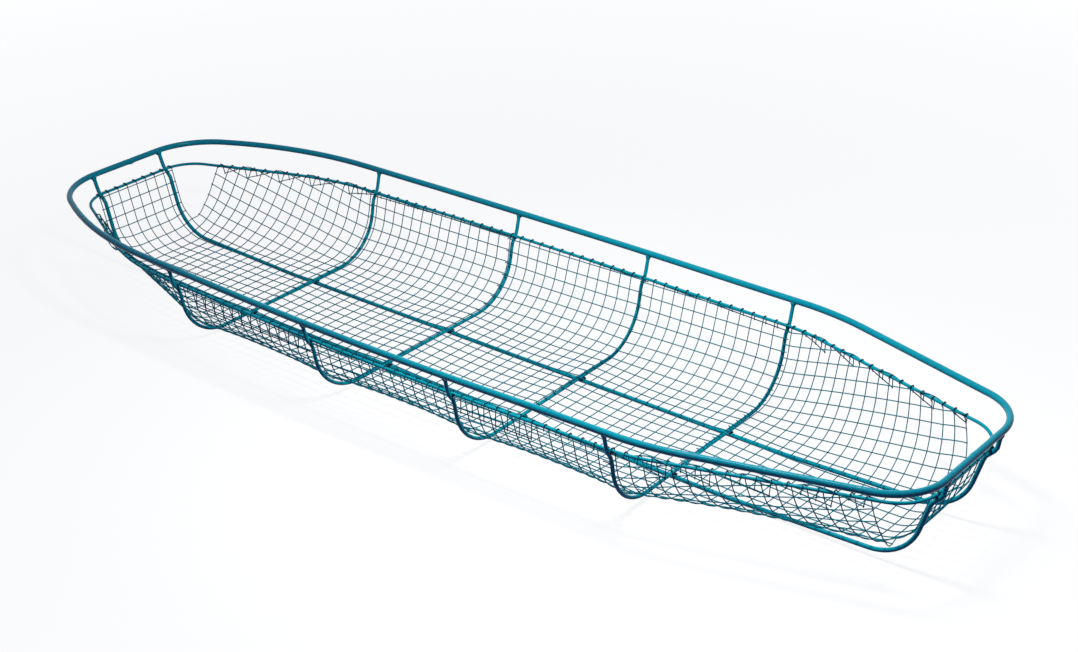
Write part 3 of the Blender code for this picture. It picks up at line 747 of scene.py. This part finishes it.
def proud_weld(ring, radius, seams, proud=0.0007, width=0.0045):
    """Radii of a ring with a slightly proud weld at each seam, and the ring drawn in by as much."""
    radii, moved = [], []
    for p in ring:
        near = min((p - s).length for s in seams)
        more = proud * math.exp(-(near / width) ** 2)
        radii.append(radius + more)
        moved.append(p - Vector((math.copysign(more, p.x), 0, more)))
    return moved, radii


def flared(path, radius, ends, swell=0.0018, reach=0.0035):
    """Radii of a rod that widens into its weld at each of the given end points."""
    return [radius + swell * max(math.exp(-(max(0, (p - e).length - TOP_R) / reach) ** 2) for e in ends)
            for p in path]


rail = Wires()
ring = loop(TOP_PLAN, lambda x: RAIL_Z, 3.0, 0.0007, 0.006)
ring, radii = proud_weld(ring, TOP_R, SEAMS)
rail.add(ring, radii, 24, closed=True)
rail.make("top_rail", RAIL, ("top_rail_left", "top_rail_right"), "rail_paint")

lower = Wires()
lower.add(loop(LOWER_PLAN, lower_rail_z, 7.0, 0.0003), LOWER_R, 16, closed=True)
lower.make("lower_rail", ROD, ("lower_rail_left", "lower_rail_right"), "rod_paint")

welds, burns = Wires(), Wires()
UNDER_RAIL = Vector((0, 0, -TOP_R + 0.0002))


def near_ends(path, close=0.0015, wide=0.009, flare=0.018):
    """Path with close points near both ends, where the weld flares, and plain spacing elsewhere."""
    fine = densify(path, close)
    ends = fine[0], fine[-1]
    result = [fine[0]]
    for p in fine[1:-1]:
        gap = close if min((p - e).length for e in ends) < flare else wide
        if (p - result[-1]).length > gap - 0.0002:
            result.append(p)
    return result + [fine[-1]]


for number, (x, skew) in enumerate(zip(RIB_STATIONS, RIB_SKEWS), start=1):
    path = near_ends([Vector((x + skew * p.x / SKEW_HALF, p.x, p.y)) for p in rib_path(x)])
    path = [bowed(p) for p in path]
    rib = Wires()
    rib.add(path, flared(path, RIB_R, (path[0], path[-1])), 18)
    rib.make("rib_%d_bar" % number, ROD, ("rib_%d" % number,), "rod_paint")
    for sign in (1, -1):
        seed = number * 2.7 + sign
        at = x + skew * sign
        top = bowed((at, sign * RAIL_Y, RAIL_Z))
        for turn in (0.4, 2.1, 3.9, 5.3):
            spot = Vector((math.cos(turn), -sign * abs(math.sin(turn)) * 0.6, 0)) * (RIB_R + 0.0008)
            size = 0.0019 + 0.0006 * noise.noise(Vector((seed, turn, 0)))
            form = (size * 1.4, size * 1.2, size * 1.3)
            welds.bead(top + spot + UNDER_RAIL, form, seed + turn)
        y = lower_rail_y(x)
        side = bowed((at, sign * (y + LOWER_R), lower_rail_z(x)))
        for way, size in ((1, 0.0030), (-1, 0.0024)):
            spot = side + Vector((way * (RIB_R + 0.0004), 0, -0.0008))
            (burns if way > 0 else welds).bead(spot, (size, 0.0026, size * 1.15), seed + way * 5)
        shift = skew * sign * RUNNER_HALF_SPACING / SKEW_HALF
        cross = Vector((x + shift, sign * RUNNER_HALF_SPACING, 2 * RUNNER_R))
        burns.bead(cross + Vector((RIB_R + 0.0010, 0.0012, 0.0002)), (0.0036, 0.0050, 0.0030), seed + 11)
        burns.bead(cross + Vector((RIB_R + 0.0008, -0.0022, 0.0)), (0.0030, 0.0030, 0.0024), seed + 13)
        welds.bead(cross + Vector((-RIB_R - 0.0006, 0, 0)), (0.0026, 0.0042, 0.0022), seed + 17)

for side, sign in (("left", 1), ("right", -1)):
    path = near_ends([Vector((p.x, sign * RUNNER_HALF_SPACING, p.y)) for p in runner_path()])
    runner = Wires()
    runner.add(path, flared(path, RUNNER_R, (path[0], path[-1])), 20)
    runner.make("runner_%s_bar" % side, ROD, ("runner_" + side,), "rod_paint")
    for end in (HEAD, FOOT):
        seed = sign * 3.3 + end * 1.9
        top = Vector((end * RAIL_X, sign * RUNNER_HALF_SPACING, RAIL_Z))
        for turn in (0.2, 1.5, 3.0, 4.4):
            spot = Vector((-end * abs(math.cos(turn)) * 0.6, math.sin(turn), 0)) * (RUNNER_R + 0.0008)
            size = 0.0022 + 0.0007 * noise.noise(Vector((seed, turn, 2)))
            welds.bead(top + spot + UNDER_RAIL, (size * 1.3,) * 3, seed + turn)
        line = lower_rail_x(end, RUNNER_HALF_SPACING)
        for way, size in ((1, 0.0034), (-1, 0.0028)):
            spot = Vector((end * (line + LOWER_R), sign * RUNNER_HALF_SPACING + way * (RUNNER_R + 0.0005),
                           LOWER_Z + LOWER_RAIL_END_RISE - 0.0006))
            burns.bead(spot, (0.0028, size, size * 1.1), seed + way * 7)

welds.make("weld_beads", WELD, (), "rod_paint")
burns.make("burnt_welds", BURNT, (), "rod_paint")


# Mesh

edges = {1: Wires(), -1: Wires(), "head": Wires(), "foot": Wires()}


def lay(sheet, points, key=None):
    """Add one wire, the stretches that are bent over a rail to that rail's edge piece.

    Each point comes with the side of the rail that it is bent over, or 0. The key names the end rail, or is
    "along" for the wires that stay with the sheet.
    """
    start = 0
    for i in range(1, len(points) + 1):
        if i < len(points) and points[i][1] == points[start][1]:
            continue
        stretch = [p for p, over in points[start:min(i + 1, len(points))]]
        over = points[start][1]
        if len(stretch) > 1:
            if over and key != "along":
                edges[key or over].add(stretch, HOOK_R)
            else:
                sheet.add(stretch, WIRE_R)
        start = i


def stations(bay):
    """Cross wires of a middle bay at the middle line, from the rib on its foot side."""
    first = RIB_STATIONS[bay] + SHEET_STARTS[bay]
    count = int((first - RIB_STATIONS[bay - 1] + 0.003) / CELL)
    return [first - k * CELL for k in range(0, count + 1)]


def trimmed(bay, side):
    """Whether the mesh is cut close to the rail here, with no flap outside it."""
    return bay == 0 and side < 0


def cross_wire(liner, nets, top, i):
    """Nodes of one cross wire, from its end past the right rail to its end past the left one."""
    chain = []
    for side in (-1, 1):
        rows, nodes = nets[side]
        keys = [nodes[i, k] for k in rows[:top[side, i] + 1]]
        if trimmed(liner.bay, side) and liner.past(*keys[-1]) > HEM:
            (xa, ta), (xb, tb) = keys[-2:]
            inside = liner.section(xa).length - abs(ta) - liner.past(xa, ta)
            share = min(1, max(0.05, (inside + HEM) / (inside + liner.past(xb, tb))))
            keys[-1] = xa + (xb - xa) * share, ta + (tb - ta) * share
        keys = grow(keys, TIP)
        chain = keys[::-1] if side < 0 else chain + keys
    return trace(liner, chain, CROSS_LIFT)


def from_rib(bay, run):
    """Lengthwise wire's nodes, from its cut end on the rib where the sheet begins."""
    rib = RIB_STATIONS[bay] + ON_ROD if bay < BAYS - 1 else RIB_STATIONS[-1] - ON_ROD
    (xa, ta), (xb, tb) = run[:2]
    share = (rib - xa) / (xb - xa)
    return [(rib, ta + (tb - ta) * share)] + (run[1:] if share > 0 else run)


def lay_strip(sheet, strip, rows, columns, offset, key):
    """Middle of an end sheet: its lengthwise wires climb to the end rail and are bent over it."""
    plain, close, bend = 0.004, 0.0015, 0.006
    lines = [offset + k * CELL for k in rows]
    lines = [t for t in lines if abs(t) < STRIP_HALF]
    last = int((strip.length - strip.start) / CELL)
    for t in lines:
        start = -ON_ROD
        stop = strip.length + STRIP_END
        count = int((stop - start) / plain)
        run = [start + (stop - start) * k / count for k in range(count + 1)]
        run = [s for s in run if s < strip.length - bend]
        steps = int((stop - strip.length + bend) / close)
        run += [strip.length - bend + close * k for k in range(steps + 1)]
        points = [(strip.place(s, t + strip.drift(s), LONG_LIFT), 1 if s > strip.length - EDGE_REACH else 0)
                  for s in run]
        lay(sheet, points, key)
    low, high = min(lines) - TIP, max(lines) + TIP
    for i in range(columns, last + 1):
        s = strip.start + i * CELL
        ts = [low + (high - low) * k / 24 + strip.drift(s) for k in range(25)]
        lay(sheet, [(strip.place(s, t, CROSS_LIFT), 0) for t in ts], key)


def lay_sheet(bay):
    liner = Liner(bay)
    sheet = Wires()
    offset, turn = SHEET_OFFSETS[bay], SHEET_TURNS[bay]
    end = HEAD if bay == 0 else FOOT if bay == BAYS - 1 else 0
    strip = Strip(end, liner) if end else None
    if end:
        columns = [strip.profile(k * CELL + strip.start).x for k in range(PANEL_COLUMNS[end] + 1)]
    else:
        columns = stations(bay)
    nets = {side: side_net(liner, columns, side, offset, turn) for side in (1, -1)}
    top = {}
    for side, (rows, nodes) in nets.items():
        for i in range(len(columns)):
            past = [k for k in rows if liner.past(*nodes[i, k]) > (HEM if trimmed(bay, side) else FLAP)]
            top[side, i] = rows.index(past[0]) if past else len(rows) - 1
    first, dropped = SKIPPED[bay]
    for i in range(first, len(columns) - dropped):
        lay(sheet, cross_wire(liner, nets, top, i))
    tail = TIP if end else max(TIP, columns[-1] - RIB_STATIONS[bay - 1] + ON_ROD)
    for side, (rows, nodes) in nets.items():
        for index, k in enumerate(rows):
            if end and abs(offset + k * CELL) < STRIP_HALF:
                continue
            run = []
            for i in range(len(columns)):
                allowed = index <= top[side, i] - trimmed(bay, side)
                if allowed:
                    run.append(nodes[i, k])
                if (not allowed or i == len(columns) - 1) and run:
                    if len(run) > 1:
                        if run[0] == nodes[0, k]:
                            run = from_rib(bay, run)
                        run = grow(run, tail if allowed else TIP)
                        lay(sheet, trace(liner, run, LONG_LIFT), "along")
                    run = []
    parts = ["mesh_%d_floor" % (bay + 1)]
    for side in ("left", "right"):
        parts += ["mesh_%d_%s_bilge" % (bay + 1, side), "mesh_%d_%s_wall" % (bay + 1, side)]
    if end:
        key = "head" if end == HEAD else "foot"
        rows = sorted(nets[1][0] + nets[-1][0])
        lay_strip(sheet, strip, rows, len(columns), offset, key)
        parts += ["mesh_%s_bend" % key, "mesh_%s_rise" % key]
    sheet.make("mesh_sheet_%d" % (bay + 1), MESH, parts, "mesh_paint")


for bay in range(BAYS):
    lay_sheet(bay)
for key, name in ((1, "left"), (-1, "right"), ("head", "head"), ("foot", "foot")):
    edges[key].make("folded_edge_" + name, EDGE, ("mesh_edge_" + name,), "edge_wire")


# Floor, light and camera

def mixed(nodes, links, factor, a, b):
    mix = nodes.new("ShaderNodeMix")
    mix.data_type = "RGBA"
    mix.inputs["A"].default_value = (*a, 1)
    mix.inputs["B"].default_value = (*b, 1)
    links.new(factor, mix.inputs["Factor"])
    return mix.outputs["Result"]


def seen_directly(nodes, links):
    """1 for what the camera, a reflection or a see-through surface shows, 0 for the light that falls."""
    light = nodes.new("ShaderNodeLightPath")
    factor = light.outputs["Is Camera Ray"]
    for ray in ("Is Glossy Ray", "Is Transmission Ray"):
        either = nodes.new("ShaderNodeMath")
        either.operation = "MAXIMUM"
        links.new(factor, either.inputs[0])
        links.new(light.outputs[ray], either.inputs[1])
        factor = either.outputs[0]
    return factor


def backdrop():
    """White paper that keeps the shadow; the light that it throws back up is dim and cool."""
    mesh = bpy.data.meshes.new("floor")
    size, level = 40, -0.0005
    corners = ((-size, -size), (size, -size), (size, size), (-size, size))
    mesh.from_pydata([(x, y, level) for x, y in corners], [], [(0, 1, 2, 3)])
    floor = bpy.data.objects.new("floor", mesh)
    bpy.context.scene.collection.objects.link(floor)
    material = bpy.data.materials.new("floor_paper")
    material.use_nodes = True
    nodes, links = material.node_tree.nodes, material.node_tree.links
    shader = nodes["Principled BSDF"]
    shader.inputs["Roughness"].default_value = 0.9
    shader.inputs["Specular IOR Level"].default_value = 0
    seen = seen_directly(nodes, links)
    links.new(mixed(nodes, links, seen, FLOOR_BOUNCE, (FLOOR_SHADE,) * 3), shader.inputs["Base Color"])
    place = nodes.new("ShaderNodeTexCoord")
    far = nodes.new("ShaderNodeVectorMath")
    far.operation = "LENGTH"
    links.new(place.outputs["Object"], far.inputs[0])
    glow = nodes.new("ShaderNodeMapRange")
    levels = {"From Min": 0.9, "From Max": 3.2, "To Min": 1.08 - FLOOR_SHADE, "To Max": 1.0}
    for name, value in levels.items():
        glow.inputs[name].default_value = value
    links.new(far.outputs["Value"], glow.inputs["Value"])
    lit = nodes.new("ShaderNodeMath")
    lit.operation = "MULTIPLY"
    links.new(seen, lit.inputs[0])
    links.new(glow.outputs["Result"], lit.inputs[1])
    shader.inputs["Emission Color"].default_value = (1, 1, 1, 1)
    links.new(lit.outputs[0], shader.inputs["Emission Strength"])
    mesh.materials.append(material)


def area(name, place, target, size, energy, colour=(1, 1, 1)):
    lamp = bpy.data.lights.new(name, "AREA")
    lamp.shape, lamp.size, lamp.size_y = "RECTANGLE", size[0], size[1]
    lamp.energy, lamp.color = energy, colour
    obj = bpy.data.objects.new(name, lamp)
    obj.location = place
    obj.rotation_euler = (Vector(target) - Vector(place)).to_track_quat("-Z", "Y").to_euler()
    obj.visible_camera = False
    bpy.context.scene.collection.objects.link(obj)


def world():
    scene = bpy.context.scene
    scene.world = bpy.data.worlds.new("studio")
    scene.world.use_nodes = True
    nodes, links = scene.world.node_tree.nodes, scene.world.node_tree.links
    seen = seen_directly(nodes, links)
    links.new(mixed(nodes, links, seen, SKY, (1, 1, 1)), nodes["Background"].inputs["Color"])


def camera():
    lens = bpy.data.cameras.new("camera")
    lens.sensor_fit = "HORIZONTAL"
    lens.sensor_width = SENSOR_WIDTH
    lens.lens = LENS
    obj = bpy.data.objects.new("camera", lens)
    turn = Matrix((CAMERA_RIGHT, CAMERA_UP, -Vector(CAMERA_AHEAD))).transposed().to_4x4()
    obj.matrix_world = Matrix.Translation(CAMERA_PLACE) @ turn
    bpy.context.scene.collection.objects.link(obj)
    bpy.context.scene.camera = obj


backdrop()
world()
area("key", KEY_PLACE, KEY_TARGET, KEY_SIZE, KEY_ENERGY)
camera()
bpy.context.scene.view_settings.view_transform = "Standard"
